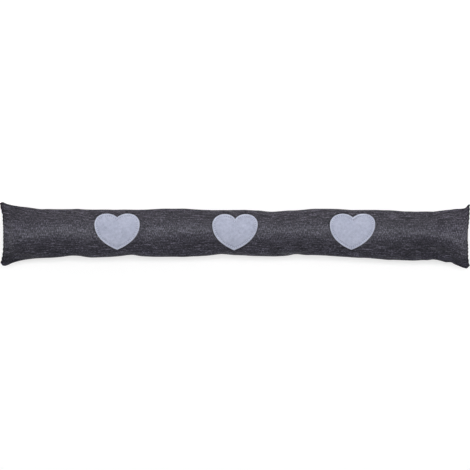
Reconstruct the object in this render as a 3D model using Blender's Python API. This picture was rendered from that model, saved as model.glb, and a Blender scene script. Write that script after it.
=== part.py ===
"""Draught excluder: a filled cloth tube with flat sewn ends, and three felt hearts sewn on its front.

It lies on its back with the hearts up. Metres, +Z up: +X runs along the tube, +Y across it. The origin is
on the surface that the tube rests on, under the middle of its box. Places along the tube are measured from
its left end, and places around it in degrees, from the far side (0) over the crown (90) to the near side (180).
"""

import math
from collections import namedtuple

import bmesh
import bpy
from mathutils import Vector

# Driving dimensions of the cover
LENGTH = 0.900
GIRTH = 0.2465  # once round the cloth tube, twice the width of its flat ends
SETTLE = 0.003  # how far the fill settles, which makes the flat underside
END_HEIGHT = 0.025  # of the sewn end above the floor
LIP_THICKNESS = 0.0036  # the layers of cloth in the sewn end
LIP_REACH = 0.006
LIP_SQUARENESS = 0.3  # 0 would make the lip a plain rectangle, and 1 a lens
SWELL_REACH = 0.010  # how fast the tube swells from its flat end
PINCH_REACH = 0.030  # how far the sharp sides of the flat end go
PINCH = 0.7
BLEND = 0.004  # softness of the step from the lifted end to the resting middle
BOW_REACH = 0.030
BOW_POWER = 4  # the seam bows in evenly and turns out only near the ears
EAR_POWER = 3

# How finely the cover is modelled
POINTS_AROUND = 36
GIRTH_POINTS = 72
GIRTH_TRIALS = 20
FIRST_STEP = 0.0016
STEP_GROWTH = 1.22
LONGEST_STEP = 0.0088

# Driving dimensions of the hearts
HEART_THICKNESS = 0.0018
HEART_GAP = 0.0006  # between cloth and felt, so that the solids stay apart
HEART_CENTRE = (0.0, 0.003)
HEART_RINGS = (1.0, 0.88, 0.75, 0.58, 0.32)  # close together where the crown curves most
CURVE_STEPS = 7

# The tube's outline from above: how far its far and near sides lie from the line between the end seams
Station = namedtuple("Station", "along far near")
OUTLINE = (
    Station(0.000, 0.0560, 0.0600),
    Station(0.005, 0.0568, 0.0650),
    Station(0.012, 0.0542, 0.0638),
    Station(0.023, 0.0517, 0.0588),
    Station(0.035, 0.0488, 0.0553),
    Station(0.058, 0.0465, 0.0518),
    Station(0.080, 0.0443, 0.0504),
    Station(0.115, 0.0444, 0.0475),
    Station(0.144, 0.0444, 0.0454),
    Station(0.175, 0.0427, 0.0484),
    Station(0.219, 0.0429, 0.0459),
    Station(0.248, 0.0433, 0.0438),
    Station(0.288, 0.0440, 0.0468),
    Station(0.345, 0.0452, 0.0473),
    Station(0.380, 0.0436, 0.0457),
    Station(0.426, 0.0423, 0.0419),
    Station(0.460, 0.0427, 0.0436),
    Station(0.495, 0.0413, 0.0457),
    Station(0.518, 0.0404, 0.0456),
    Station(0.564, 0.0417, 0.0425),
    Station(0.610, 0.0448, 0.0442),
    Station(0.645, 0.0444, 0.0461),
    Station(0.679, 0.0421, 0.0484),
    Station(0.714, 0.0429, 0.0500),
    Station(0.748, 0.0417, 0.0530),
    Station(0.783, 0.0394, 0.0542),
    Station(0.829, 0.0390, 0.0530),
    Station(0.840, 0.0406, 0.0538),
    Station(0.852, 0.0419, 0.0570),
    Station(0.863, 0.0433, 0.0578),
    Station(0.875, 0.0442, 0.0622),
    Station(0.889, 0.0440, 0.0674),
    Station(0.894, 0.0470, 0.0684),
    Station(0.898, 0.0513, 0.0668),
    Station(0.900, 0.0510, 0.0640),
)

# The two ends: how far the seam bows inwards, and how far each ear stands above or below it
End = namedtuple("End", "bow far_ear_lift near_ear_lift")
LEFT_END = End(0.0060, 0.003, -0.002)
RIGHT_END = End(0.0050, 0.007, -0.003)

# The folds: soft troughs, or ridges where the depth is negative. A slant of 90 runs around the tube.
Fold = namedtuple("Fold", "along around length width slant depth")
FOLDS = (
    Fold(0.052, 127, 0.075, 0.006, 0, 0.0024),
    Fold(0.108, 122, 0.016, 0.014, 0, 0.0026),
    Fold(0.030, 160, 0.050, 0.007, 8, 0.0034),
    Fold(0.034, 22, 0.052, 0.007, -6, 0.0032),
    Fold(0.060, 44, 0.060, 0.007, 4, 0.0018),
    Fold(0.116, 36, 0.046, 0.006, -8, 0.0018),
    Fold(0.132, 22, 0.040, 0.006, 5, 0.0016),
    Fold(0.020, 68, 0.030, 0.005, 4, 0.0018),
    Fold(0.018, 90, 0.024, 0.005, 0, 0.0014),
    Fold(0.021, 111, 0.032, 0.005, -3, 0.0018),
    Fold(0.250, 178, 0.050, 0.014, 84, 0.0018),
    Fold(0.310, 140, 0.070, 0.018, 10, -0.0016),
    Fold(0.426, 190, 0.052, 0.015, 95, 0.0018),
    Fold(0.518, 2, 0.050, 0.015, 88, 0.0018),
    Fold(0.566, 176, 0.050, 0.013, 80, 0.0022),
    Fold(0.330, 52, 0.070, 0.012, -6, 0.0014),
    Fold(0.560, 48, 0.075, 0.012, 5, 0.0015),
    Fold(0.720, 60, 0.060, 0.014, -10, 0.0016),
    Fold(0.760, 118, 0.070, 0.018, 14, -0.0016),
    Fold(0.826, 138, 0.060, 0.013, 62, 0.0044),
    Fold(0.850, 62, 0.070, 0.008, 3, 0.0018),
    Fold(0.864, 42, 0.060, 0.006, -4, 0.0024),
    Fold(0.870, 22, 0.044, 0.007, 9, 0.0036),
    Fold(0.874, 122, 0.046, 0.006, 2, 0.0024),
    Fold(0.866, 139, 0.056, 0.006, 10, 0.0028),
    Fold(0.864, 156, 0.056, 0.006, 18, 0.0034),
    Fold(0.880, 76, 0.030, 0.005, -3, 0.0018),
    Fold(0.882, 98, 0.026, 0.005, 2, 0.0016),
    Fold(0.040, 205, 0.060, 0.008, -10, 0.0030),
    Fold(0.046, 235, 0.055, 0.009, -4, 0.0024),
    Fold(0.044, 305, 0.055, 0.009, 6, 0.0024),
    Fold(0.040, 335, 0.060, 0.008, 10, 0.0030),
    Fold(0.858, 205, 0.060, 0.008, 12, 0.0030),
    Fold(0.852, 236, 0.060, 0.009, 4, 0.0024),
    Fold(0.854, 306, 0.055, 0.009, -6, 0.0024),
    Fold(0.860, 336, 0.060, 0.008, -10, 0.0030),
)

# The hearts, from left to right: their places from the middle of the tube, and how far they lean to the right
Heart = namedtuple("Heart", "name place lean")
HEARTS = (
    Heart("heart_left", -0.2269, 0.2),
    Heart("heart_middle", -0.0002, 1.9),
    Heart("heart_right", 0.2260, 3.6),
)

# One half of the heart's outline, as cubic curves from the tip up to the notch
HEART_CURVES = (
    ((0.0, -0.0349), (0.0265, -0.0244), (0.0440, -0.0074), (0.0440, 0.0159)),
    ((0.0440, 0.0159), (0.0440, 0.0240), (0.0370, 0.0355), (0.0200, 0.0355)),
    ((0.0200, 0.0355), (0.0116, 0.0355), (0.0027, 0.0302), (0.0, 0.0255)),
)

# The surfaces: colour, roughness
COVER_LOOK = ((0.088, 0.085, 0.104), 0.62)
HEART_LOOK = ((0.410, 0.435, 0.545), 0.90)


def plain_material(name, look):
    colour, roughness = look
    material = bpy.data.materials.new(name)
    material.use_nodes = True
    shader = material.node_tree.nodes["Principled BSDF"]
    shader.inputs["Base Color"].default_value = (*colour, 1.0)
    shader.inputs["Roughness"].default_value = roughness
    shader.inputs["Metallic"].default_value = 0.0
    return material


def add_object(name, mesh_data, look):
    """A closed mesh as one named object, shaded smooth, with its faces pointing out."""
    bmesh.ops.recalc_face_normals(mesh_data, faces=mesh_data.faces)
    mesh = bpy.data.meshes.new(name)
    mesh_data.to_mesh(mesh)
    mesh_data.free()
    mesh.materials.append(plain_material(name + "_cloth", look))
    mesh.shade_smooth()
    bpy.context.scene.collection.objects.link(bpy.data.objects.new(name, mesh))


def smooth_between(rows, along, column):
    """One column of a table of stations, read between its rows along a curve with no overshoot."""
    places = [row.along for row in rows]
    values = [getattr(row, column) for row in rows]
    steps = [b - a for a, b in zip(places, places[1:])]
    slopes = [(b - a) / step for a, b, step in zip(values, values[1:], steps)]
    index = max(i for i, place in enumerate(places[:-1]) if place <= along or i == 0)

    def slope_at(i):
        if i == 0:
            return slopes[0]
        if i == len(slopes):
            return slopes[-1]
        before, after = slopes[i - 1], slopes[i]
        return 2 * before * after / (before + after) if before * after > 0 else 0.0

    step = steps[index]
    u = (along - places[index]) / step
    rise = (3 - 2 * u) * u * u
    return (
        values[index] * (1 - rise)
        + values[index + 1] * rise
        + step * (u * (1 - u) ** 2 * slope_at(index) - u * u * (1 - u) * slope_at(index + 1))
    )


def section_height(around, swell, lip, sharpness):
    """How far the cloth lies above or below the middle of its section."""
    side = math.sin(around)
    size = abs(side)
    return math.copysign(swell * size ** (2 * sharpness) + lip * size**LIP_SQUARENESS, side)


def girth_of(half_width, swell, sharpness):
    points = []
    for i in range(GIRTH_POINTS + 1):
        around = math.tau * i / GIRTH_POINTS
        height = section_height(around, swell, 0.0, sharpness)
        points.append(Vector((half_width * math.cos(around), height)))
    return sum((b - a).length for a, b in zip(points, points[1:]))


def swell_for_girth(half_width, sharpness):
    """The half height at which a section of this width takes up the whole girth of the cloth."""
    low, high = 0.0, GIRTH / 4
    for _ in range(GIRTH_TRIALS):
        middle = (low + high) / 2
        if girth_of(half_width, middle, sharpness) < GIRTH:
            low = middle
        else:
            high = middle
    return low


class Section:
    """The cover's cross section at one place along the tube."""

    def __init__(self, along):
        self.along = along
        self.from_end = min(along, LENGTH - along)
        self.end, self.inwards = (LEFT_END, 1) if along < LENGTH / 2 else (RIGHT_END, -1)
        far = smooth_between(OUTLINE, along, "far")
        near = smooth_between(OUTLINE, along, "near")
        self.half_width = (far + near) / 2
        self.centre = (far - near) / 2
        self.pinched = math.exp(-self.from_end / PINCH_REACH)
        self.sharpness = 0.5 + PINCH * self.pinched
        self.lip = LIP_THICKNESS / 2 * math.exp(-self.from_end / LIP_REACH)
        full = swell_for_girth(self.half_width, self.sharpness)
        self.swell = full * math.tanh(self.from_end / SWELL_REACH)
        resting = self.swell - SETTLE
        self.height = (resting + END_HEIGHT + math.hypot(resting - END_HEIGHT, BLEND)) / 2

    def out(self, around):
        """The direction in which the cloth faces, in the plane of the section."""
        power = 2 * self.sharpness
        slope = self.swell * power * abs(math.sin(around)) ** (power - 1) + LIP_THICKNESS / 2
        across = slope * math.cos(around)
        up = self.half_width * math.sin(around)
        return Vector((0.0, across, up)).normalized()

    def fold_depth(self, around):
        """The depth of all folds at one point, less in the thin ears."""
        total = 0.0
        radius = GIRTH / math.tau
        for fold in FOLDS:
            turned = (math.degrees(around) - fold.around + 180) % 360 - 180
            x = self.along - fold.along
            y = math.radians(turned) * radius
            slant = math.radians(fold.slant)
            lengthwise = (x * math.cos(slant) + y * math.sin(slant)) / (fold.length / 2)
            sideways = (y * math.cos(slant) - x * math.sin(slant)) / fold.width
            total += fold.depth * math.exp(-(lengthwise**2) - sideways**2)
        in_ear = self.pinched * math.cos(around) ** 2
        return total * (1 - in_ear) * math.tanh(self.from_end / SWELL_REACH)

    def point(self, around):
        across = math.cos(around)
        near_end = math.exp(-self.from_end / BOW_REACH)
        ear_lift = self.end.far_ear_lift if across > 0 else self.end.near_ear_lift
        x = self.along - LENGTH / 2 + self.inwards * self.end.bow * (1 - across**BOW_POWER) * near_end
        y = self.centre + self.half_width * across
        z = self.height + section_height(around, self.swell, self.lip, self.sharpness)
        z += ear_lift * abs(across) ** EAR_POWER * near_end
        place = Vector((x, y, z)) - self.out(around) * self.fold_depth(around)
        place.z = max(place.z, 0.0)
        return place


def ring_places():
    """Places of the rings along the tube, close together at the ends, with one ring in the middle."""
    half = [0.0]
    step = FIRST_STEP
    while half[-1] < LENGTH / 2:
        half.append(half[-1] + step)
        step = min(step * STEP_GROWTH, LONGEST_STEP)
    half = [place * LENGTH / 2 / half[-1] for place in half]
    return half + [LENGTH - place for place in reversed(half[:-1])]


def angles_around():
    return [math.tau * i / POINTS_AROUND for i in range(POINTS_AROUND)]


def close_flat_end(mesh_data, ring):
    """The sewn end: a strip from the upper edge of its ring to the lower one."""
    half = POINTS_AROUND // 2
    mesh_data.faces.new((ring[0], ring[1], ring[-1]))
    for i in range(1, half - 1):
        mesh_data.faces.new((ring[i], ring[i + 1], ring[-i - 1], ring[-i]))
    mesh_data.faces.new((ring[half - 1], ring[half], ring[half + 1]))


def add_cover(shift):
    """The filled tube of cloth, as one solid with its crown, flat ends, ears and main folds."""
    mesh_data = bmesh.new()
    rings = []
    for along in ring_places():
        section = Section(along)
        rings.append([mesh_data.verts.new(section.point(a) + shift) for a in angles_around()])
    for first, second in zip(rings, rings[1:]):
        for i in range(POINTS_AROUND):
            j = (i + 1) % POINTS_AROUND
            mesh_data.faces.new((first[i], first[j], second[j], second[i]))
    close_flat_end(mesh_data, rings[0])
    close_flat_end(mesh_data, rings[-1])
    add_object("cover", mesh_data, COVER_LOOK)


def cubic(points, u):
    a, b, c, d = (Vector(point) for point in points)
    return a * (1 - u) ** 3 + b * 3 * u * (1 - u) ** 2 + c * 3 * u * u * (1 - u) + d * u**3


def heart_outline():
    """The heart's outline in its own plane, once round from the tip."""
    half = [cubic(curve, i / CURVE_STEPS) for curve in HEART_CURVES for i in range(CURVE_STEPS)]
    notch = Vector(HEART_CURVES[-1][-1])
    other = [Vector((-point.x, point.y)) for point in reversed(half[1:])]
    return half + [notch] + other


def felt_pair(heart, flat_point):
    """The lower and upper points of the felt over one point of the flat heart."""
    lean = math.radians(-heart.lean)
    x = heart.place + flat_point.x * math.cos(lean) - flat_point.y * math.sin(lean)
    y = flat_point.x * math.sin(lean) + flat_point.y * math.cos(lean)
    section = Section(LENGTH / 2 + x)
    out = section.out(math.acos((y - section.centre) / section.half_width))
    top = HEART_GAP + HEART_THICKNESS
    base = section.point(math.acos((y - out.y * top - section.centre) / section.half_width))
    return base + out * HEART_GAP, base + out * top


def add_heart(heart, shift):
    """One felt heart, bent over the crown of the tube."""
    mesh_data = bmesh.new()
    centre = Vector(HEART_CENTRE)
    outline = heart_outline()
    lower, upper = [], []
    for scale in HEART_RINGS:
        pairs = [felt_pair(heart, centre + (point - centre) * scale) for point in outline]
        lower.append([mesh_data.verts.new(low + shift) for low, _ in pairs])
        upper.append([mesh_data.verts.new(high + shift) for _, high in pairs])
    low, high = (mesh_data.verts.new(place + shift) for place in felt_pair(heart, centre))
    count = len(outline)
    for i in range(count):
        j = (i + 1) % count
        for rings, middle in ((lower, low), (upper, high)):
            for outer, inner in zip(rings, rings[1:]):
                mesh_data.faces.new((outer[i], outer[j], inner[j], inner[i]))
            mesh_data.faces.new((rings[-1][i], rings[-1][j], middle))
        mesh_data.faces.new((lower[0][i], lower[0][j], upper[0][j], upper[0][i]))
    add_object(heart.name, mesh_data, HEART_LOOK)


def clear_scene():
    for obj in list(bpy.data.objects):
        bpy.data.objects.remove(obj)


def shift_to_origin():
    """The move that puts the middle of the cover's box over the origin."""
    sections = [Section(along) for along in ring_places()]
    places = [section.point(a) for section in sections for a in angles_around()]
    middle = [(min(p[i] for p in places) + max(p[i] for p in places)) / 2 for i in range(2)]
    return Vector((-middle[0], -middle[1], 0.0))


def main():
    clear_scene()
    shift = shift_to_origin()
    add_cover(shift)
    for heart in HEARTS:
        add_heart(heart, shift)


main()
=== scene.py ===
"""The looks of the draught excluder: its filled cover, three felt hearts and the stitches that hold them.

Metres, +Z up, +X along the tube, +Y across it. It lies on its back with the hearts up, and the camera looks
straight down on it. A place on the cover is given as in the solids: the distance from the left end, and the
angle round the tube, from the far side (0) over the crown (90) to the near side (180).
"""

import math

import bpy
import numpy as np
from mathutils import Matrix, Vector
from mathutils.bvhtree import BVHTree


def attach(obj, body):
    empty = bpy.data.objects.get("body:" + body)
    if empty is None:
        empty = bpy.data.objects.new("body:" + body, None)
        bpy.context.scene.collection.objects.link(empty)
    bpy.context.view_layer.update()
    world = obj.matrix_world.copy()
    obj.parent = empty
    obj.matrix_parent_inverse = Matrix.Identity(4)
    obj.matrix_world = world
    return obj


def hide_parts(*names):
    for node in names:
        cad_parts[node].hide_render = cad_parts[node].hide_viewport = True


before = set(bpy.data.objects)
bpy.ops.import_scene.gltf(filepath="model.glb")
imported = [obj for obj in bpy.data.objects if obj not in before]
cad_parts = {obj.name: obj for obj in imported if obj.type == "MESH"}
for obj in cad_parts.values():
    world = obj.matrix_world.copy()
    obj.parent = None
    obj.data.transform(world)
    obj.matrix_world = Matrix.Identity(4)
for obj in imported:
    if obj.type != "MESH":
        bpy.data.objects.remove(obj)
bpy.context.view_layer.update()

# The cover
LENGTH = 0.900
GIRTH = 0.2465
RINGS = 260
AROUND = 72
SEAM_HALF = 0.0018  # half the thickness of the sewn end
SEAM_TURN = (
    # reach, share of the seam's thickness
    (0.0005, 0.93),
    (0.0009, 0.74),
    (0.0010, 0.48),
    (0.0007, 0.24),
    (0.0001, 0.08),
    (-0.0007, 0.02),
)
YARN_PITCH = 0.0019
WRINKLE_CAP = 0.0035

# The cloth simulation
CUT_LONG = 1.025  # how much longer and wider the cloth is cut than the solid
CUT_WIDE = 1.005
HOLD = 0.045  # how firmly the cloth keeps its shape, of 1
PRESSURE = -1.5  # slightly inwards
FRAMES = 26

# Creases of the cloth: soft troughs, or ridges where the depth is negative
CREASES = (
    # along, around, length, width, slant, depth
    (0.018, 128, 0.030, 0.0030, 6, 0.0009),
    (0.026, 143, 0.040, 0.0030, 10, 0.0011),
    (0.020, 158, 0.034, 0.0032, 14, 0.0012),
    (0.056, 124, 0.022, 0.0045, -12, 0.0014),
    (0.060, 134, 0.030, 0.0030, 2, 0.0010),
    (0.026, 30, 0.036, 0.0030, -9, 0.0011),
    (0.020, 16, 0.030, 0.0032, -14, 0.0011),
    (0.098, 25, 0.040, 0.0032, 28, 0.0009),
    (0.124, 29, 0.034, 0.0030, 20, 0.0008),
    (0.150, 24, 0.034, 0.0034, 34, 0.0008),
    (0.014, 52, 0.022, 0.0026, -4, 0.0008),
    (0.013, 76, 0.018, 0.0026, 2, 0.0007),
    (0.013, 100, 0.018, 0.0026, -2, 0.0007),
    (0.014, 118, 0.022, 0.0026, 3, 0.0008),
    (0.306, 150, 0.060, 0.0050, 24, 0.0009),
    (0.344, 32, 0.050, 0.0044, -18, 0.0009),
    (0.404, 150, 0.046, 0.0050, -30, 0.0008),
    (0.448, 24, 0.050, 0.0042, 30, 0.0008),
    (0.540, 156, 0.050, 0.0050, 34, 0.0010),
    (0.588, 150, 0.044, 0.0046, -26, 0.0009),
    (0.620, 30, 0.052, 0.0044, -22, 0.0009),
    (0.762, 28, 0.050, 0.0040, 20, 0.0010),
    (0.790, 150, 0.060, 0.0046, 34, 0.0012),
    (0.812, 144, 0.050, 0.0040, 50, 0.0013),
    (0.832, 30, 0.036, 0.0030, 12, 0.0010),
    (0.846, 152, 0.050, 0.0032, 44, 0.0014),
    (0.856, 131, 0.044, 0.0030, 26, 0.0011),
    (0.862, 26, 0.034, 0.0028, 8, 0.0011),
    (0.868, 147, 0.044, 0.0028, 30, 0.0013),
    (0.872, 160, 0.040, 0.0028, 34, 0.0013),
    (0.876, 34, 0.030, 0.0026, 10, 0.0010),
    (0.880, 16, 0.030, 0.0028, 16, 0.0011),
    (0.884, 118, 0.024, 0.0026, 6, 0.0009),
    (0.886, 134, 0.026, 0.0026, 12, 0.0010),
    (0.886, 60, 0.020, 0.0024, 4, 0.0008),
    (0.887, 84, 0.018, 0.0024, -3, 0.0007),
    (0.887, 102, 0.018, 0.0024, 4, 0.0007),
)

# How far the cloth's sides stand out beyond the solid's, along the tube
TRIM = (
    # along, far, near
    (0.000, 0.0006, 0.0000),
    (0.004, 0.0021, 0.0000),
    (0.009, 0.0010, 0.0004),
    (0.022, 0.0008, 0.0002),
    (0.045, 0.0008, 0.0000),
    (0.091, -0.0004, -0.0004),
    (0.149, -0.0002, -0.0008),
    (0.184, 0.0004, 0.0002),
    (0.246, -0.0005, 0.0015),
    (0.300, 0.0002, 0.0000),
    (0.345, -0.0003, -0.0002),
    (0.426, 0.0000, 0.0015),
    (0.495, 0.0009, 0.0002),
    (0.564, 0.0005, 0.0024),
    (0.610, 0.0005, -0.0002),
    (0.679, 0.0002, 0.0004),
    (0.748, -0.0005, 0.0002),
    (0.806, 0.0003, 0.0002),
    (0.840, 0.0005, 0.0017),
    (0.863, 0.0009, 0.0000),
    (0.886, 0.0028, 0.0017),
    (0.896, 0.0048, 0.0021),
    (0.900, 0.0040, 0.0014),
)

# How far the crown leans over to the near side, along the tube, as the most that it lifts that side
LEANS = (
    # along, lift
    (0.000, 0.0010),
    (0.015, 0.0026),
    (0.040, 0.0032),
    (0.060, 0.0028),
    (0.090, 0.0018),
    (0.125, 0.0026),
    (0.150, 0.0024),
    (0.175, 0.0010),
    (0.270, 0.0010),
    (0.300, 0.0014),
    (0.334, -0.0010),
    (0.380, -0.0006),
    (0.560, 0.0002),
    (0.700, 0.0000),
    (0.740, -0.0018),
    (0.775, -0.0032),
    (0.800, -0.0024),
    (0.825, -0.0006),
    (0.860, 0.0016),
    (0.885, 0.0008),
    (0.900, 0.0000),
)

# Patches of painted shade on the cloth, or of painted light where the tone is over 0
PAINTED_SHADING = (
    # along, around, length, width, tone
    (0.010, 152, 0.026, 0.024, -0.048),
    (0.016, 86, 0.014, 0.040, 0.022),
    (0.028, 42, 0.038, 0.014, -0.024),
    (0.080, 148, 0.080, 0.018, -0.026),
    (0.560, 142, 0.090, 0.014, -0.014),
    (0.690, 60, 0.120, 0.010, -0.022),
    (0.780, 112, 0.060, 0.012, -0.018),
    (0.815, 132, 0.036, 0.020, -0.028),
    (0.868, 78, 0.026, 0.013, 0.020),
    (0.884, 152, 0.020, 0.020, -0.034),
    (0.884, 88, 0.022, 0.038, 0.026),
    (0.897, 4, 0.010, 0.016, -0.040),
)
SEAM_SHADE = -0.080
HEART_SHADE = -0.045

# The hearts: their places from the middle of the tube, their lean to the right, and where the notch ends
HEARTS = (
    # name, along, across, lean, notch
    ("heart_left", -0.2255, 0.0066, 0.0, 0.0278),
    ("heart_middle", -0.0006, 0.0056, 1.7, 0.0250),
    ("heart_right", 0.2239, 0.0064, 2.8, 0.0272),
)
HEART_SCALE = 0.982
HEART_FLANK = ((0.0, -0.0349), (0.0265, -0.0244), (0.0440, -0.0074), (0.0440, 0.0159))
HEART_LOBE = ((0.0440, 0.0159), (0.0440, 0.0240), (0.0370, 0.0355), (0.0200, 0.0355))
HEART_DIP = ((0.0200, 0.0355), (0.0116, 0.0355), (0.0027, 0.0315))  # and then the notch
CURVE_STEPS = 52
STITCH_INSET = 0.0042
STITCH_PITCH = 0.0042
STITCH_LENGTH = 0.0031
THREAD_RADIUS = 0.00034
THREAD_ARCH = 0.00036
FELT_CLEARANCE = 0.00008
FELT_EDGE = 0.0009  # the felt's height at its cut edge, and inside it
FELT_HEIGHT = 0.0021
PULL_WIDTH = 0.0009  # half the width of the groove that the thread pulls into the felt
HEART_REACH = 0.065  # how far from a heart's middle the cloth is shaped by it
HEART_LEVEL = 0.030  # the hearts lie above this height

# The sewn ends: how far they reach out beyond the solid's, across the tube
REACH = (
    # across, left, right
    (-0.061, 0.0000, 0.0000),
    (-0.046, 0.0000, 0.0002),
    (-0.030, 0.0000, 0.0013),
    (-0.018, 0.0000, 0.0014),
    (-0.006, 0.0002, 0.0005),
    (0.005, 0.0001, 0.0003),
    (0.017, 0.0003, 0.0020),
    (0.028, 0.0009, 0.0032),
    (0.038, 0.0005, 0.0032),
    (0.046, 0.0018, 0.0028),
    (0.055, 0.0020, 0.0004),
    (0.061, 0.0011, -0.0008),
)
RIPPLE = 0.0005
RIPPLE_PITCH = 0.0072

# How the ends swell up beside their seams
SWELLS = (
    # side, lift, from the end, width
    (-1, 0.0040, 0.0085, 0.0055),
    (1, 0.0030, 0.0070, 0.0050),
)

# The camera and the light
LENS = 300
SENSOR = 36
VIEW_WIDTH = 0.9015
VIEW_LEVEL = 0.030
FLOOR_REACH = 20
FLOOR_GLOW = 0.68
SKY = 0.29
HORIZON = 0.81  # as pale as the far floor
SOFTBOXES = (
    # name, size, place, power
    ("strip", (2.4, 0.30), (0.0, 0.24, 1.40), 13),
    ("side", (2.4, 0.60), (0.0, 1.50, 1.30), 9),
    ("end_left", (0.5, 0.5), (-1.30, 0.0, 0.80), 1.7),
    ("end_right", (0.5, 0.5), (1.30, 0.0, 0.80), 2.2),
)


# Camera: it stands on the object's middle, as far as a long lens needs to fill the width
def add_camera():
    data = bpy.data.cameras.new("camera")
    data.lens = LENS
    data.sensor_width = SENSOR
    camera = bpy.data.objects.new("camera", data)
    bpy.context.scene.collection.objects.link(camera)
    camera.location = (-0.0002, 0.0005, VIEW_LEVEL + VIEW_WIDTH * LENS / SENSOR)
    bpy.context.scene.camera = camera


add_camera()


# Node helpers
class Nodes:
    """A material's nodes, made one by one."""

    def __init__(self, name):
        self.material = bpy.data.materials.new(name)
        self.material.use_nodes = True
        self.tree = self.material.node_tree
        self.shader = self.tree.nodes["Principled BSDF"]

    def add(self, kind, inputs=(), **settings):
        node = self.tree.nodes.new(kind)
        for key, value in settings.items():
            setattr(node, key, value)
        for key, value in dict(inputs).items():
            self.feed(node.inputs[key], value)
        return node

    def feed(self, socket, value):
        if isinstance(value, bpy.types.NodeSocket):
            self.tree.links.new(value, socket)
        else:
            socket.default_value = value

    def math(self, operation, a, b=0.0, c=0.0):
        return self.add("ShaderNodeMath", {0: a, 1: b, 2: c}, operation=operation).outputs[0]

    def noise(self, vector, scale, detail=2.0, roughness=0.5):
        fed = {"Vector": vector, "Scale": scale, "Detail": detail, "Roughness": roughness}
        return self.add("ShaderNodeTexNoise", fed).outputs["Fac"]

    def stretched(self, vector, factors):
        return self.add("ShaderNodeMapping", {"Vector": vector, "Scale": factors}).outputs[0]

    def ramp(self, value, stops):
        node = self.add("ShaderNodeValToRGB", {"Fac": value})
        elements = node.color_ramp.elements
        while len(elements) < len(stops):
            elements.new(0.5)
        for element, (place, colour) in zip(elements, stops):
            element.position = place
            element.color = (*colour, 1.0)
        return node.outputs["Color"]

    def level(self, value, low, high, to_low, to_high):
        fed = {"Value": value, "From Min": low, "From Max": high, "To Min": to_low, "To Max": to_high}
        return self.add("ShaderNodeMapRange", fed).outputs[0]

    def bump(self, height, strength, distance, normal=None):
        fed = {"Height": height, "Strength": strength, "Distance": distance}
        if normal is not None:
            fed["Normal"] = normal
        return self.add("ShaderNodeBump", fed).outputs[0]


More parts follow.
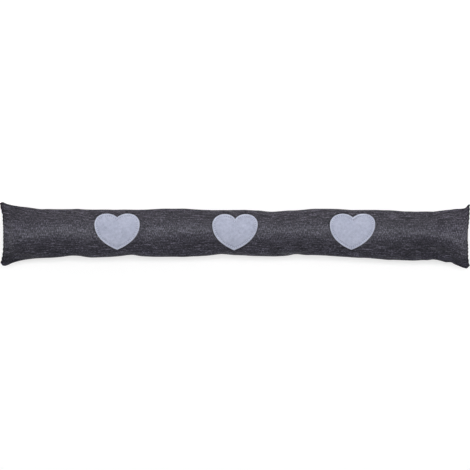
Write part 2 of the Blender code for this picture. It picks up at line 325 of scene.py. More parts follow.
def cover_material():
    """A plain weave of round slubbed yarns, dark grey with a little blue."""
    n = Nodes("cover_weave")
    place = n.add("ShaderNodeUVMap", uv_map="cloth").outputs[0]
    parts = n.add("ShaderNodeSeparateXYZ", {"Vector": place})
    u = n.math("MULTIPLY_ADD", n.noise(place, 60.0, 2.0), 0.0030, parts.outputs[0])
    v = n.math("MULTIPLY_ADD", n.noise(place, 45.0, 2.0), 0.0030, parts.outputs[1])
    across = n.math("SINE", n.math("MULTIPLY", u, math.pi / YARN_PITCH))
    along = n.math("SINE", n.math("MULTIPLY", v, math.pi / YARN_PITCH))
    over = n.level(n.math("MULTIPLY", across, along), -0.15, 0.15, 0.0, 1.0)
    under = n.math("SUBTRACT", 1.0, over)
    lengthwise = n.math("ABSOLUTE", along)
    crosswise = n.math("ABSOLUTE", across)
    yarn = n.math("MULTIPLY_ADD", lengthwise, over, n.math("MULTIPLY", crosswise, under))
    rows = n.noise(n.stretched(place, (40.0, 560.0, 1.0)), 1.0, 1.0, 0.5)
    bits = n.noise(n.stretched(place, (210.0, 600.0, 1.0)), 1.0, 2.0, 0.6)
    long_slub = n.math("MULTIPLY_ADD", rows, 0.62, n.math("MULTIPLY_ADD", bits, 0.78, -0.20))
    cross_slub = n.noise(n.stretched(place, (760.0, 230.0, 1.0)), 1.0, 2.0, 0.6)
    cross_slub = n.math("MULTIPLY_ADD", cross_slub, 1.20, -0.10)
    slub = n.math("MULTIPLY_ADD", long_slub, over, n.math("MULTIPLY", cross_slub, under))
    cloudy = n.noise(place, 28.0, 3.0, 0.6)
    fibre = n.noise(place, 2600.0, 2.0, 0.6)
    nearward = n.math("SUBTRACT", parts.outputs[1], GIRTH / 2)
    from_crown = n.math("ABSOLUTE", n.math("ADD", nearward, 0.004))
    uneven = n.math("MULTIPLY_ADD", n.math("SUBTRACT", cloudy, 0.5), 0.018, from_crown)
    cross_yarn_glints = n.level(uneven, 0.012, 0.026, 0.66, 0.08)  # the crown shows the cross yarns: a painted pattern of their glints, where the light catches them
    # painted highlight: the crown is painted paler, where the light catches it most
    painted_crown_highlight = n.level(uneven, 0.004, 0.018, 1.0, 0.0)
    dull = n.level(uneven, 0.026, 0.060, 0.0, 1.0)
    painted_near_side_shade = n.level(nearward, 0.016, 0.040, 0.0, 1.0)  # painted shade: the near side is the darker, as less light falls on it
    # painted shade along the near rim, darker still
    painted_near_rim_shade = n.level(nearward, 0.046, 0.060, 0.0, 1.0)
    # painted light and shade, read from the cover's attribute
    painted_light_and_shade = n.add("ShaderNodeAttribute", attribute_name="painted_light_and_shade").outputs["Fac"]
    streaks = n.math("MULTIPLY_ADD", n.math("SUBTRACT", cross_slub, long_slub), cross_yarn_glints, long_slub)
    tone = n.math("MULTIPLY_ADD", slub, 0.40, n.math("MULTIPLY_ADD", streaks, 0.60, -0.004))
    tone = n.math("MULTIPLY_ADD", n.math("SUBTRACT", cloudy, 0.5), 0.06, tone)
    tone = n.math("MULTIPLY_ADD", n.math("SUBTRACT", fibre, 0.5), 0.16, tone)
    tone = n.math("MULTIPLY_ADD", n.math("SUBTRACT", yarn, 0.6), 0.12, tone)
    # the crown's painted highlight, and the painted light and shade of the cover's attribute
    tone = n.math("MULTIPLY_ADD", painted_crown_highlight, 0.020, n.math("ADD", painted_light_and_shade, tone))
    # the painted shade of the near side and its rim darkens the tone
    tone = n.math("MULTIPLY_ADD", painted_near_rim_shade, -0.050, n.math("MULTIPLY_ADD", painted_near_side_shade, -0.020, tone))
    colour = n.ramp(
        tone,
        (
            (0.34, (0.002, 0.002, 0.004)),
            (0.45, (0.013, 0.012, 0.017)),
            (0.55, (0.042, 0.039, 0.053)),
            (0.66, (0.146, 0.136, 0.178)),
        ),
    )
    # the far side is a little warmer, and the near side a little bluer
    tinge = n.ramp(
        n.level(nearward, -0.060, 0.060, 0.0, 1.0),
        (
            (0.28, (1.04, 1.00, 0.99)),
            (0.40, (1.0, 1.0, 1.0)),
            (0.72, (1.0, 1.0, 1.0)),
            (0.86, (1.0, 1.0, 1.10)),
        ),
    )
    colour = n.add("ShaderNodeVectorMath", {0: colour, 1: tinge}, operation="MULTIPLY").outputs[0]
    n.feed(n.shader.inputs["Base Color"], colour)
    gloss = n.level(tone, 0.35, 0.65, 0.52, 0.34)
    spot = n.add("ShaderNodeTexCoord").outputs["Object"]
    from_middle = n.math("ABSOLUTE", n.add("ShaderNodeSeparateXYZ", {"Vector": spot}).outputs[0])
    ending = n.level(from_middle, LENGTH / 2 - 0.022, LENGTH / 2 - 0.006, 0.0, 1.0)
    roughness = n.math("MULTIPLY_ADD", n.math("MAXIMUM", dull, ending), 0.36, gloss)
    n.feed(n.shader.inputs["Roughness"], roughness)
    n.shader.inputs["Sheen Weight"].default_value = 0.02
    n.shader.inputs["Sheen Roughness"].default_value = 0.4
    n.shader.inputs["Sheen Tint"].default_value = (0.80, 0.82, 0.95, 1.0)
    n.shader.inputs["Specular IOR Level"].default_value = 0.40
    n.shader.inputs["Specular Tint"].default_value = (0.90, 0.92, 1.0, 1.0)
    relief = n.math("MULTIPLY_ADD", slub, 0.8, n.math("MULTIPLY", yarn, 0.6))
    n.feed(n.shader.inputs["Normal"], n.bump(relief, 0.40, 0.0003))
    return n.material


def felt_material():
    """Pressed wool felt: matted fibres, a soft nap and slightly uneven colour."""
    n = Nodes("heart_wool")
    place = n.add("ShaderNodeTexCoord").outputs["Object"]
    matted = n.noise(place, 900.0, 4.0, 0.7)
    clumps = n.noise(place, 190.0, 3.0, 0.6)
    cloudy = n.noise(place, 45.0, 2.0, 0.5)
    strands = n.add("ShaderNodeTexVoronoi", {"Vector": place, "Scale": 750.0}, feature="DISTANCE_TO_EDGE")
    tone = n.math("MULTIPLY_ADD", clumps, 0.45, n.math("MULTIPLY", matted, 0.55))
    tone = n.math("MULTIPLY_ADD", n.math("SUBTRACT", cloudy, 0.5), 0.25, tone)
    inset = n.add("ShaderNodeAttribute", attribute_name="inset").outputs["Fac"]
    needle_hole_shade = n.add("ShaderNodeAttribute", attribute_name="needle_hole_shade").outputs["Fac"]
    painted_edge_highlight = n.level(inset, 0.0008, 0.0030, 1.0, 0.0)  # painted highlight: the cut edge is paler, as where it catches the light
    tone = n.math("MULTIPLY_ADD", painted_edge_highlight, 0.14, tone)
    # painted shade in the needle holes, where the thread pulls the felt down
    tone = n.math("MULTIPLY_ADD", needle_hole_shade, -0.30, tone)
    colour = n.ramp(
        tone,
        (
            (0.30, (0.290, 0.310, 0.410)),
            (0.50, (0.405, 0.430, 0.545)),
            (0.70, (0.530, 0.555, 0.670)),
        ),
    )
    n.feed(n.shader.inputs["Base Color"], colour)
    n.feed(n.shader.inputs["Roughness"], n.level(tone, 0.3, 0.7, 0.97, 0.86))
    n.shader.inputs["Sheen Weight"].default_value = 0.25
    n.shader.inputs["Sheen Roughness"].default_value = 0.6
    n.shader.inputs["Specular IOR Level"].default_value = 0.2
    relief = n.math("MULTIPLY_ADD", n.math("MINIMUM", strands.outputs["Distance"], 0.3), 0.8, tone)
    n.feed(n.shader.inputs["Normal"], n.bump(relief, 0.5, 0.0004))
    return n.material


def thread_material():
    """Twisted sewing thread in the felt's own colour."""
    n = Nodes("stitch_thread")
    place = n.add("ShaderNodeTexCoord").outputs["Object"]
    twist = n.add(
        "ShaderNodeTexWave",
        {"Vector": place, "Scale": 900.0, "Distortion": 2.0, "Detail": 1.0},
        bands_direction="DIAGONAL",
    ).outputs["Fac"]
    fuzz = n.noise(place, 1500.0, 2.0)
    tone = n.math("MULTIPLY_ADD", twist, 0.5, n.math("MULTIPLY", fuzz, 0.5))
    colour = n.ramp(tone, ((0.2, (0.50, 0.52, 0.62)), (0.8, (0.78, 0.80, 0.88))))
    n.feed(n.shader.inputs["Base Color"], colour)
    n.feed(n.shader.inputs["Roughness"], n.level(fuzz, 0.2, 0.8, 0.45, 0.65))
    n.feed(n.shader.inputs["Normal"], n.bump(twist, 0.4, 0.0002))
    return n.material


# The cover's shape
def sections(points, edges, places):
    """The far, near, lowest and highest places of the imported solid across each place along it."""
    start, end = points[edges[:, 0]], points[edges[:, 1]]
    rows = []
    for x in places:
        cut = (start[:, 0] - x) * (end[:, 0] - x) <= 0
        a, b = start[cut], end[cut]
        run = np.where(np.abs(b[:, 0] - a[:, 0]) < 1e-12, 1e-12, b[:, 0] - a[:, 0])
        met = a + (b - a) * np.clip((x - a[:, 0]) / run, 0, 1)[:, None]
        rows.append((met[:, 1].min(), met[:, 1].max(), met[:, 2].min(), met[:, 2].max()))
    return np.array(rows).T


def blurred(grid, times):
    """A grid's values softened along the tube and around it."""
    for _ in range(times):
        grid = (np.roll(grid, 1, 1) + np.roll(grid, -1, 1) + 2 * grid) / 4
        inner = (grid[:-2] + grid[2:] + 2 * grid[1:-1]) / 4
        grid = np.concatenate([grid[:1], inner, grid[-1:]])
    return grid


def refined(grid):
    """A grid of twice the fineness, on smooth curves through its points."""
    near = np.roll(grid, -1, 1)
    middle = (9 * (grid + near) - np.roll(grid, 1, 1) - np.roll(grid, -2, 1)) / 16
    rows = np.stack([grid, middle], 2).reshape(grid.shape[0], -1, *grid.shape[2:])
    ends = np.concatenate([2 * rows[:1] - rows[1:2], rows, 2 * rows[-1:] - rows[-2:-1]])
    middle = (9 * (ends[1:-2] + ends[2:-1]) - ends[:-3] - ends[3:]) / 16
    out = np.empty((2 * len(rows) - 1, *rows.shape[1:]))
    out[0::2] = rows
    out[1::2] = middle
    return out


def outward(grid):
    """The direction in which the cloth faces at each point of a grid."""
    along = np.gradient(grid, axis=0)
    around = np.roll(grid, -1, 1) - np.roll(grid, 1, 1)
    faces = np.cross(around, along)
    faces /= np.linalg.norm(faces, axis=-1, keepdims=True) + 1e-12
    middle = grid.mean(1, keepdims=True)
    return faces if ((grid - middle) * faces).sum() > 0 else -faces


def base_grid():
    """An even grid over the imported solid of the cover, with its flat ends."""
    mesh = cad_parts["cover"].data
    points = np.array([v.co for v in mesh.vertices])
    edges = np.array([e.vertices for e in mesh.edges])
    tree = BVHTree.FromPolygons([v.co for v in mesh.vertices], [tuple(p.vertices) for p in mesh.polygons])
    along = np.linspace(0, LENGTH, RINGS)
    x = along - LENGTH / 2
    edge = LENGTH / 2 - 0.0001
    low_y, high_y, _, _ = sections(points, edges, np.clip(x, -edge, edge))
    inner = LENGTH / 2 - 0.0085
    _, _, low_z, high_z = sections(points, edges, np.clip(x, -inner, inner))
    from_end = np.minimum(along, LENGTH - along)[:, None]
    half, middle = (high_y - low_y)[:, None] / 2, (high_y + low_y)[:, None] / 2
    swell = (high_z - low_z)[:, None] / 2 * np.tanh(from_end / 0.010)
    sharp = 0.5 + 0.7 * np.exp(-from_end / 0.030)
    inwards = np.where(x < 0, 1, -1)[:, None] * 0.0055 * np.exp(-from_end / 0.03)
    turn = np.arange(AROUND) * math.tau / AROUND
    across, up = np.cos(turn)[None], np.sin(turn)[None]
    lip = SEAM_HALF * np.exp(-from_end / 0.006) * np.abs(up) ** 0.3
    rough = np.stack(
        [
            x[:, None] + inwards * (1 - across**4),
            middle + half * across,
            (low_z + high_z)[:, None] / 2 + np.sign(up) * (swell * np.abs(up) ** (2 * sharp) + lip),
        ],
        -1,
    )
    near = np.array([tree.find_nearest(Vector(p))[0] for p in rough.reshape(-1, 3)]).reshape(rough.shape)
    return rough + blurred(near - rough, 4)


def eased(value):
    value = np.clip(value, 0, 1)
    return value * value * (3 - 2 * value)


def fade_at_ends(rings):
    along = np.linspace(0, LENGTH, rings)
    return np.tanh(np.minimum(along, LENGTH - along) / 0.010)[:, None]


def noise_grid(seed, rings, around, softness, stretch):
    """Seeded noise on a grid, softened, longer along the tube where stretch is over 1."""
    grid = np.random.default_rng(seed).normal(0, 1, (rings, around))
    for _ in range(softness):
        grid = (np.roll(grid, 1, 1) + np.roll(grid, -1, 1) + 2 * grid) / 4
    for _ in range(int(softness * stretch)):
        grid = (np.roll(grid, 1, 0) + np.roll(grid, -1, 0) + 2 * grid) / 4
    return grid / grid.std()


def offsets(rings, around, place, angle):
    """How far the points of a grid lie from a place, along the tube and around it."""
    along = np.linspace(0, LENGTH, rings)[:, None]
    turn = np.degrees(np.arange(around) * math.tau / around)[None]
    return along - place, np.radians((turn - angle + 180) % 360 - 180) * GIRTH / math.tau


def creased(grid):
    """The grid with the table's creases pressed into it."""
    rings, around = grid.shape[:2]
    depth = np.zeros((rings, around))
    for place, angle, length, width, slant, deep in CREASES:
        x, y = offsets(rings, around, place, angle)
        c, s = math.cos(math.radians(slant)), math.sin(math.radians(slant))
        a = (x * c + y * s) / (length / 2)
        b = (y * c - x * s) / width
        depth += deep * np.exp(-(a**2)) * (np.exp(-(b**2)) - 0.45 * np.exp(-((np.abs(b) - 1.7) ** 2)))
    return grid - outward(grid) * (depth * fade_at_ends(rings))[..., None]


def heart_half(notch):
    points = []
    for curve in (HEART_FLANK, HEART_LOBE, (*HEART_DIP, (0.0, notch))):
        a, b, c, d = (np.array(p) for p in curve)
        for u in np.arange(CURVE_STEPS) / CURVE_STEPS:
            points.append(a * (1 - u) ** 3 + b * 3 * u * (1 - u) ** 2 + c * 3 * u * u * (1 - u) + d * u**3)
    return np.array(points)


def heart_outline(place, across, lean, notch):
    """One heart's outline from above, once round from its tip."""
    half = heart_half(notch)
    other = half[1:][::-1] * (-1, 1)
    flat = np.concatenate([half, [(0.0, notch)], other]) * HEART_SCALE
    flat[:, 0] += flat[:, 1] * math.tan(math.radians(lean))
    return flat + (place, across)


def inset_from(points, outline):
    """How far each point lies inside an outline, negative outside it."""
    a, b = outline, np.roll(outline, -1, 0)
    run = b - a
    flat = points.reshape(-1, 2)
    best = np.full(len(flat), 1e9)
    inside = np.zeros(len(flat), bool)
    for start, way, end in zip(a, run, b):
        t = np.clip(((flat - start) @ way) / (way @ way), 0, 1)
        best = np.minimum(best, np.hypot(*(flat - start - t[:, None] * way).T))
        crosses = (start[1] > flat[:, 1]) != (end[1] > flat[:, 1])
        if crosses.any():
            at = start[0] + (flat[:, 1] - start[1]) / (way[1] or 1e-12) * way[0]
            inside ^= crosses & (flat[:, 0] < at)
    return (best * np.where(inside, 1, -1)).reshape(points.shape[:-1])


def near_hearts(grid):
    """The part of the grid round each heart, and how far its points lie inside the heart's edge."""
    for _, place, *form in HEARTS:
        near = (np.abs(grid[..., 0] - place) < HEART_REACH) & (grid[..., 2] > HEART_LEVEL)
        yield near, inset_from(grid[near][:, :2], heart_outline(place, *form)[::3])


def pressed_under_hearts(grid):
    """The grid dented where a heart is sewn down, with the cloth standing up a little round its edge."""
    dent = np.zeros(grid.shape[:2])
    for near, inset in near_hearts(grid):
        sunk = 0.0008 / (1 + np.exp(-(inset + 0.0006) / 0.0010))
        sewn = 0.0007 * np.exp(-(((inset - STITCH_INSET) / 0.0030) ** 2))
        proud = -0.0006 * np.exp(-(((inset + 0.0055) / 0.0036) ** 2))
        dent[near] += sunk + sewn + proud
    return grid - outward(grid) * dent[..., None]


def simulated(grid):
    """The grid after a cloth simulation, for its wrinkles."""
    rings, around = grid.shape[:2]
    faces = []
    for i in range(rings - 1):
        for j in range(around):
            a, b = i * around, (i + 1) * around
            k = (j + 1) % around
            faces.append((a + j, a + k, b + k, b + j))
    bumpy = noise_grid(7, rings, around, 22, 1.0) * 0.0004 * fade_at_ends(rings) * (grid[..., 2] > 0.002)
    start = grid + outward(grid) * bumpy[..., None]
    mesh = bpy.data.meshes.new("simulated")
    mesh.from_pydata([tuple(p) for p in start.reshape(-1, 3)], [], faces)
    cloth = bpy.data.objects.new("simulated", mesh)
    bpy.context.scene.collection.objects.link(cloth)
    cloth.shape_key_add(name="Basis")
    key = cloth.shape_key_add(name="Cut")
    turn = np.arange(around) * math.tau / around
    radius = GIRTH * CUT_WIDE / math.tau
    cut = np.empty(grid.shape, np.float32)
    cut[..., 0] = np.linspace(-0.5, 0.5, rings)[:, None] * LENGTH * CUT_LONG
    cut[..., 1] = radius * np.cos(turn)
    cut[..., 2] = radius * np.sin(turn)
    key.data.foreach_set("co", cut.ravel())
    held = np.full((rings, around), HOLD)
    held[:2] = held[-2:] = 1.0
    held[grid[..., 2] < 0.0015] = 1.0
    group = cloth.vertex_groups.new(name="held")
    for weight in np.unique(held):
        group.add(np.nonzero(held.ravel() == weight)[0].tolist(), float(weight), "REPLACE")
    modifier = cloth.modifiers.new("Cloth", "CLOTH")
    settings = modifier.settings
    settings.rest_shape_key = key
    settings.vertex_group_mass = "held"
    settings.pin_stiffness = 1.0
    settings.quality = 6
    settings.mass = 0.2
    settings.tension_stiffness = settings.compression_stiffness = 20
    settings.shear_stiffness = 8
    settings.bending_model = "ANGULAR"
    settings.bending_stiffness = 0.3
    settings.tension_damping = settings.compression_damping = settings.shear_damping = 10
    settings.bending_damping = 1
    settings.air_damping = 2
    settings.use_pressure = True
    settings.uniform_pressure_force = PRESSURE
    settings.effector_weights.gravity = 0
    modifier.collision_settings.use_collision = False
    modifier.collision_settings.use_self_collision = False
    modifier.point_cache.frame_start = 1
    modifier.point_cache.frame_end = FRAMES
    scene = bpy.context.scene
    for number in range(1, FRAMES + 1):
        scene.frame_set(number)
    done = cloth.evaluated_get(bpy.context.evaluated_depsgraph_get()).to_mesh()
    moved = np.empty(len(done.vertices) * 3, np.float32)
    done.vertices.foreach_get("co", moved)
    moved = moved.reshape(grid.shape).astype(float)
    bpy.data.objects.remove(cloth)
    scene.frame_set(1)
    return moved


def wrinkles(grid):
    """What the simulation adds to the grid: its wrinkles without its overall change of shape, capped."""
    shift = simulated(grid) - grid
    facing = outward(grid)
    lift = blurred((shift * facing).sum(-1), 5)
    lift = lift - blurred(lift, 400)
    lift = WRINKLE_CAP * np.tanh(lift / WRINKLE_CAP)
    lift *= eased((facing[..., 2] - 0.10) / 0.35)
    return facing * (lift * fade_at_ends(len(grid)))[..., None]


def seam_rings(grid, left):
    """The cloth turned in round the sewn end, with a groove between its two layers."""
    ring = grid[0] if left else grid[-1]
    core = (ring + np.roll(ring[::-1], 1, 0)) / 2
    out = -1.0 if left else 1.0
    rows = []
    for reach, share in SEAM_TURN:
        row = core + (ring - core) * share
        row[:, 0] += out * reach
        rows.append(row)
    return rows


def eased_table(table, column, rings, passes):
    """A table's column along the tube, with its corners rounded off."""
    table = np.array(table)
    values = np.interp(np.linspace(0, LENGTH, rings), table[:, 0], table[:, column])
    for _ in range(passes):
        values[1:-1] = (values[:-2] + values[2:] + 2 * values[1:-1]) / 4
    return values[:, None]


def trimmed(grid):
    """The grid with its sides, crown and ends moved as the tables say."""
    rings, around = grid.shape[:2]
    turn = (np.arange(around) * math.tau / around)[None]
    across, up = np.cos(turn), np.maximum(np.sin(turn), 0)
    far, near = eased_table(TRIM, 1, rings, 0), eased_table(TRIM, 2, rings, 0)
    out = grid.copy()
    out[..., 1] += far * np.maximum(across, 0) ** 2 - near * np.maximum(-across, 0) ** 2
    out[..., 2] -= eased_table(LEANS, 1, rings, 40) * 2 * across * up * fade_at_ends(rings)
    along = np.linspace(0, LENGTH, rings)[:, None]
    from_end = np.minimum(along, LENGTH - along)
    sign = np.where(along < LENGTH / 2, -1.0, 1.0)
    reach = np.array(REACH)
    left, right = (np.interp(grid[..., 1], reach[:, 0], reach[:, column]) for column in (1, 2))
    out[..., 0] += sign * np.where(sign < 0, left, right) * np.exp(-from_end / 0.014)
    waver = 0.35 * np.sin(grid[..., 1] / 0.0131 + sign) + grid[..., 1] / RIPPLE_PITCH
    out[..., 0] += sign * RIPPLE * np.sin(math.tau * waver) * np.exp(-from_end / 0.005)
    for side, lift, place, width in SWELLS:
        out[..., 2] += lift * up * (sign == side) * np.exp(-(((from_end - place) / width) ** 2))
    return out


def cover_grid():
    grid = base_grid()
    grid = grid + wrinkles(grid)
    fine = refined(grid)
    rings, around = fine.shape[:2]
    small = noise_grid(11, rings, around, 6, 3.0) * 0.00010 + noise_grid(12, rings, around, 20, 2.0) * 0.00020
    fine = fine + outward(fine) * (small * fade_at_ends(rings))[..., None]
    fine = creased(trimmed(fine))
    fine = pressed_under_hearts(fine)
    fine[..., 2] = np.maximum(fine[..., 2], 0.0)
    return fine


def painted_shading(grid):
    """How much darker or paler than elsewhere the cloth is painted at each point of the grid, as painted
    light and shade: the table's patches, a darker band at the sewn ends and a painted shadow round each
    heart.
    """
    rings, around = grid.shape[:2]
    tone = np.zeros((rings, around))
    for place, angle, length, width, lift in PAINTED_SHADING:
        x, y = offsets(rings, around, place, angle)
        tone += lift * np.exp(-((x / length) ** 2) - (y / width) ** 2)
    along = np.linspace(0, LENGTH, rings)[:, None]
    from_end = np.minimum(along, LENGTH - along)
    tone += SEAM_SHADE * np.exp(-((from_end / 0.0025) ** 2))
    for near, inset in near_hearts(grid):
        tone[near] += HEART_SHADE * np.exp(-(((inset + 0.0010) / 0.0026) ** 2))
    return tone


def add_piece(name, points, faces, material):
    mesh = bpy.data.meshes.new(name)
    mesh.from_pydata([tuple(p) for p in points], [], faces)
    mesh.materials.append(material)
    mesh.shade_smooth()
    piece = bpy.data.objects.new(name, mesh)
    bpy.context.scene.collection.objects.link(piece)
    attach(piece, "root")
    return piece


def add_cover(grid):
    left = seam_rings(grid, True)
    right = seam_rings(grid, False)
    rows = left[::-1] + list(grid) + right
    count = grid.shape[1]
    points = np.concatenate(rows)
    turned = count - count // 4  # the long seam of the tube lies under it
    faces, places = [], []
    steps = [0.0]
    for a, b in zip(rows, rows[1:]):
        steps.append(steps[-1] + float(np.linalg.norm(b - a, axis=1).mean()))
    for i in range(len(rows) - 1):
        for j in range(count):
            k = (j + 1) % count
            faces.append((i * count + j, i * count + k, (i + 1) * count + k, (i + 1) * count + j))
            low = ((j - turned) % count) / count * GIRTH
            high = low + GIRTH / count
            places += [(steps[i], low), (steps[i], high), (steps[i + 1], high), (steps[i + 1], low)]
    last = (len(rows) - 1) * count
    faces.append(tuple(reversed(range(count))))
    faces.append(tuple(range(last, last + count)))
    places += [(0.0, 0.0)] * (2 * count)
    piece = add_piece("cover_cloth_piece", points, faces, cover_material())
    layer = piece.data.uv_layers.new(name="cloth")
    layer.data.foreach_set("uv", np.array(places, np.float32).ravel())
    # the painted light and shade, at each point of the cover
    tone = np.pad(painted_shading(grid), ((len(left), len(right)), (0, 0)), "edge")
    layer = piece.data.attributes.new("painted_light_and_shade", "FLOAT", "POINT")
    layer.data.foreach_set("value", tone.astype(np.float32).ravel())
    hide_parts("cover")


class Surface:
    """The finished cover, to lay things on from above."""

    def __init__(self, grid):
        rings, count = grid.shape[:2]
        faces = [
            (i * count + j, (i + 1) * count + j, (i + 1) * count + j + 1, i * count + j + 1)
            for i in range(rings - 1)
            for j in range(count // 2)
        ]
        self.tree = BVHTree.FromPolygons([Vector(p) for p in grid.reshape(-1, 3)], faces)

    def height(self, x, y):
        return self.tree.ray_cast(Vector((x, y, 0.5)), Vector((0, 0, -1)))[0].z

    def facing(self, x, y, reach=0.0022):
        dx = self.height(x + reach, y) - self.height(x - reach, y)
        dy = self.height(x, y + reach) - self.height(x, y - reach)
        return Vector((-dx, -dy, 2 * reach)).normalized()

    def lifted(self, x, y, rises):
        """Points at several heights over the cloth, the highest one over this place as seen from above."""
        way = self.facing(x, y)
        top = max(rises)
        px, py = x - way.x * top, y - way.y * top
        foot = Vector((px, py, self.height(px, py)))
        return [foot + way * rise for rise in rises]


def felt_rise(inset, hole=0.5):
    """How far the felt's upper side stands above the cloth, by the distance inside its edge.

    The thread pulls it down, hardest at its needle holes, where hole is 1.
    """
    edge = FELT_EDGE + (FELT_HEIGHT - FELT_EDGE) * (1 - math.exp(-inset / 0.0007))
    sewn = (0.0004 + 0.0007 * hole) * math.exp(-(((inset - STITCH_INSET) / PULL_WIDTH) ** 2))
    puff = 0.0004 * (1 - math.exp(-(max(inset - STITCH_INSET, 0) / 0.006) ** 2))
    return edge - sewn + puff


def stitch_phases(outline, centre):
    """How near each outline point lies to a needle hole, 1 at a hole and 0 halfway along a stitch."""
    path = stitch_path(outline, centre)
    closed = np.concatenate([path, path[:1]])
    steps = np.concatenate([[0], np.cumsum(np.linalg.norm(np.diff(closed, axis=0), axis=1))])
    count = round(steps[-1] / STITCH_PITCH)
    return np.cos(math.pi * steps[:-1] / steps[-1] * count) ** 4


def add_heart(name, outline, centre, surface, felt):
    scales = [1.0, 0.994, 0.984, 0.97, 0.953, 0.936, 0.919, 0.902, 0.886, 0.870, 0.854, 0.838]
    scales += [0.82, 0.80, 0.775, 0.745, 0.70, 0.64, 0.56, 0.46, 0.34, 0.21, 0.09]
    rings = [centre + (outline - centre) * scale for scale in scales]
    count = len(outline)
    rough = noise_grid(21 + len(name), len(scales), count, 2, 1.0) * 0.00006
    holes = stitch_phases(outline, centre)
    lower, upper, insets, needle_hole_shades = [], [], [], []
    for ring, uneven in zip(rings, rough):
        inset = np.maximum(inset_from(ring, outline), 0)
        insets += list(inset)
        # where the thread pulls the felt down at its needle holes, for their painted shade
        needle_hole_shades += list(holes * np.exp(-(((inset - STITCH_INSET) / PULL_WIDTH) ** 2)))
        for (x, y), inside, extra, hole in zip(ring, inset, uneven, holes):
            low, high = surface.lifted(x, y, (FELT_CLEARANCE, felt_rise(inside, hole) + extra))
            lower.append(low)
            upper.append(high)
    low, high = surface.lifted(*centre, (FELT_CLEARANCE, felt_rise(0.02)))
    size = len(lower)
    points = lower + upper + [low, high]
    faces = []
    for j in range(count):
        k = (j + 1) % count
        for r in range(len(scales) - 1):
            a, b = r * count, (r + 1) * count
            faces.append((size + a + j, size + a + k, size + b + k, size + b + j))
            faces.append((a + j, b + j, b + k, a + k))
        a = (len(scales) - 1) * count
        faces.append((size + a + j, size + a + k, 2 * size + 1))
        faces.append((a + k, a + j, 2 * size))
        faces.append((j, k, size + k, size + j))
    piece = add_piece(name + "_felt", points, faces, felt)
    for label, values in (("inset", insets), ("needle_hole_shade", needle_hole_shades)):
        layer = piece.data.attributes.new(label, "FLOAT", "POINT")
        middle = [0.02 if label == "inset" else 0.0] * 2
        layer.data.foreach_set("value", np.array(values * 2 + middle, np.float32))
    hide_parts(name)
    return piece


def stitch_path(outline, centre):
    """The line of the top stitch from above, an even distance inside the felt's edge."""
    low, high = np.full(len(outline), 0.5), np.ones(len(outline))
    for _ in range(18):
        middle = (low + high) / 2
        inset = inset_from(centre + (outline - centre) * middle[:, None], outline)
        inner = inset > STITCH_INSET
        low, high = np.where(inner, middle, low), np.where(inner, high, middle)
    return centre + (outline - centre) * low[:, None]


def add_stitches(name, outline, centre, surface, thread):
    path = stitch_path(outline, centre)
    closed = np.concatenate([path, path[:1]])
    steps = np.concatenate([[0], np.cumsum(np.linalg.norm(np.diff(closed, axis=0), axis=1))])
    count = round(steps[-1] / STITCH_PITCH)
    random = np.random.default_rng(31 + len(name))
    points, faces = [], []
    sides, cuts = 8, 7
    for number in range(count):
        middle = (number + 0.5) * steps[-1] / count + random.normal(0, 0.0001)
        length = STITCH_LENGTH * (1 + random.normal(0, 0.05))
        at = [(middle + (t - 0.5) * length) % steps[-1] for t in (0.0, 1.0)]
        ends = [np.array([np.interp(s, steps, closed[:, i]) for i in range(2)]) for s in at]
        start = len(points)
        for c in range(cuts):
            t = c / (cuts - 1)
            x, y = ends[0] * (1 - t) + ends[1] * t
            way = surface.facing(x, y)
            arch = THREAD_ARCH * math.sin(math.pi * t) ** 0.6
            rise = felt_rise(STITCH_INSET, math.cos(math.pi * t) ** 4) + arch
            px, py = x - way.x * rise, y - way.y * rise
            middle_point = Vector((px, py, surface.height(px, py))) + way * rise
            forward = Vector((*(ends[1] - ends[0]), 0))
            forward = (forward - way * forward.dot(way)).normalized()
            side = way.cross(forward)
            radius = THREAD_RADIUS * (math.sin(math.pi * min(max(t, 0.04), 0.96)) ** 0.35)
            for s in range(sides):
                turn = math.tau * s / sides
                out = side * (math.cos(turn) * radius) + way * (math.sin(turn) * radius)
                points.append(middle_point + out)
        for c in range(cuts - 1):
            for s in range(sides):
                a, b = start + c * sides, start + (c + 1) * sides
                faces.append((a + s, a + (s + 1) % sides, b + (s + 1) % sides, b + s))
        faces.append(tuple(start + s for s in reversed(range(sides))))
        faces.append(tuple(start + (cuts - 1) * sides + s for s in range(sides)))
    return add_piece(name + "_stitch", points, faces, thread)


def add_hearts(grid):
    surface = Surface(grid)
    felt, thread = felt_material(), thread_material()
    for name, place, across, lean, notch in HEARTS:
        outline = heart_outline(place, across, lean, notch)
        centre = np.array((place, across + 0.003))
        piece = add_heart(name, outline, centre, surface, felt)
        stitches = add_stitches(name, outline, centre, surface, thread)


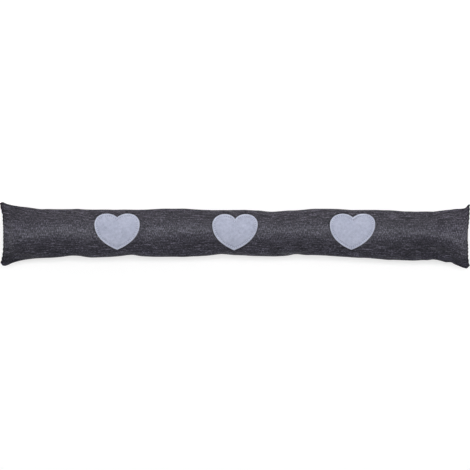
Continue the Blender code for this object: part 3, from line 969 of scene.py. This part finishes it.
def add_floor():
    n = Nodes("floor_paint")
    place = n.add("ShaderNodeTexCoord").outputs["Object"]
    soft = n.noise(place, 3.0, 3.0)
    colour = n.ramp(soft, ((0.3, (0.41, 0.41, 0.41)), (0.7, (0.43, 0.43, 0.43))))
    n.feed(n.shader.inputs["Base Color"], colour)
    n.shader.inputs["Roughness"].default_value = 0.9
    n.shader.inputs["Specular IOR Level"].default_value = 0.1
    n.shader.inputs["Emission Color"].default_value = (1.0, 1.0, 1.0, 1.0)
    n.shader.inputs["Emission Strength"].default_value = FLOOR_GLOW
    mesh = bpy.data.meshes.new("floor")
    corners = [(x * FLOOR_REACH, y * FLOOR_REACH, 0) for x, y in ((-1, -1), (1, -1), (1, 1), (-1, 1))]
    mesh.from_pydata(corners, [], [(0, 1, 2, 3)])
    mesh.materials.append(n.material)
    floor = bpy.data.objects.new("floor", mesh)
    bpy.context.scene.collection.objects.link(floor)


def add_softbox(name, size, place, power):
    """A soft light that aims at the part of the tube nearest to it."""
    data = bpy.data.lights.new(name, "AREA")
    data.shape = "RECTANGLE"
    data.size, data.size_y = size
    data.energy = power
    light = bpy.data.objects.new(name, data)
    bpy.context.scene.collection.objects.link(light)
    light.location = place
    aim = Vector((min(max(place[0], -LENGTH / 2), LENGTH / 2), 0.0, VIEW_LEVEL))
    light.rotation_euler = (aim - Vector(place)).to_track_quat("-Z", "Y").to_euler()


def add_lights():
    world = bpy.data.worlds.new("studio")
    bpy.context.scene.world = world
    world.use_nodes = True
    tree = world.node_tree
    background = tree.nodes["Background"]
    background.inputs["Color"].default_value = (1.0, 1.0, 1.0, 1.0)
    direction = tree.nodes.new("ShaderNodeTexCoord").outputs["Generated"]
    parts = tree.nodes.new("ShaderNodeSeparateXYZ")
    tree.links.new(direction, parts.inputs[0])
    strength = tree.nodes.new("ShaderNodeMapRange")
    tree.links.new(parts.outputs["Z"], strength.inputs["Value"])
    for name, value in (("From Min", 0.06), ("From Max", 0.16), ("To Min", HORIZON), ("To Max", SKY)):
        strength.inputs[name].default_value = value
    tree.links.new(strength.outputs[0], background.inputs["Strength"])
    for softbox in SOFTBOXES:
        add_softbox(*softbox)
    bpy.context.scene.view_settings.view_transform = "Standard"


grid = cover_grid()
add_cover(grid)
add_hearts(grid)
add_floor()
add_lights()
